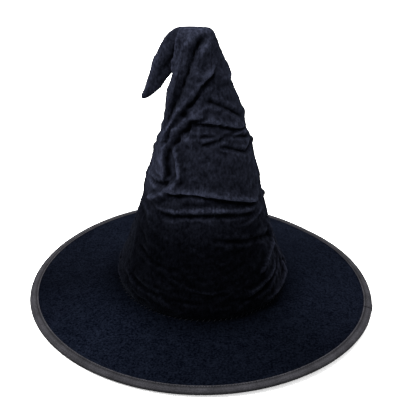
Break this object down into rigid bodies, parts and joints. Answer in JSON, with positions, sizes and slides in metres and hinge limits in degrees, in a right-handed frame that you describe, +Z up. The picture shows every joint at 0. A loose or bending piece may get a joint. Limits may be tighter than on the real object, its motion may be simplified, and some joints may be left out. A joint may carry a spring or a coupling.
{
  "type": "witch hat",
  "caption": "Pointed costume hat: wide round wired brim, soft wrinkled velvet cone with its tip folded over to one side, lined and stiffened, open below for the head.",
  "frame": {"origin": "centre of the brim, on the surface that the edge of the brim stands on", "axes": "+Z up along the cone, -Y the wearer's front, -X the side that the tip is folded over to"},
  "size_m": [0.41, 0.41, 0.338],
  "materials": {
    "crown_velvet": "soft pile, crushed",
    "brim_velvet": "soft pile",
    "tip_velvet": "soft pile, crushed",
    "interlining_felt": "matt needled felt",
    "lining_cloth": "smooth plain weave",
    "under_cloth": "plain weave",
    "binding_ribbon": "ribbed grosgrain",
    "band_ribbon": "ribbed grosgrain",
    "thread": "twisted sewing thread",
    "wire_steel": "drawn wire",
    "ferrule_metal": "crimped tube"
  },
  "bodies": {
    "hat": {"crown_front_panel": "crown_velvet", "crown_back_panel": "crown_velvet", "crown_front_interlining": "interlining_felt", "crown_back_interlining": "interlining_felt", "lining_front_panel": "lining_cloth", "lining_back_panel": "lining_cloth", "left_seam_thread": "thread", "right_seam_thread": "thread", "left_upper_tack": "thread", "right_upper_tack": "thread", "left_lower_tack": "thread", "right_lower_tack": "thread", "brim_under_cloth": "under_cloth", "brim_core": "interlining_felt", "brim_top_velvet": "brim_velvet", "brim_wire": "wire_steel", "wire_ferrule": "ferrule_metal", "edge_binding": "binding_ribbon", "binding_top_thread": "thread", "binding_bottom_thread": "thread", "base_seam_thread": "thread", "sweatband": "band_ribbon", "sweatband_thread": "thread"},
    "tip": {"tip_front_panel": "tip_velvet", "tip_back_panel": "tip_velvet", "tip_interlining": "interlining_felt", "tip_seam_thread": "thread"}
  },
  "joints": [
    {"name": "tip_fold", "type": "hinge", "parent": "hat", "child": "tip", "pos_m": [-0.037, 0, 0.326], "axis": [0, 1, 0], "range_deg": [0, 100]}
  ]
}
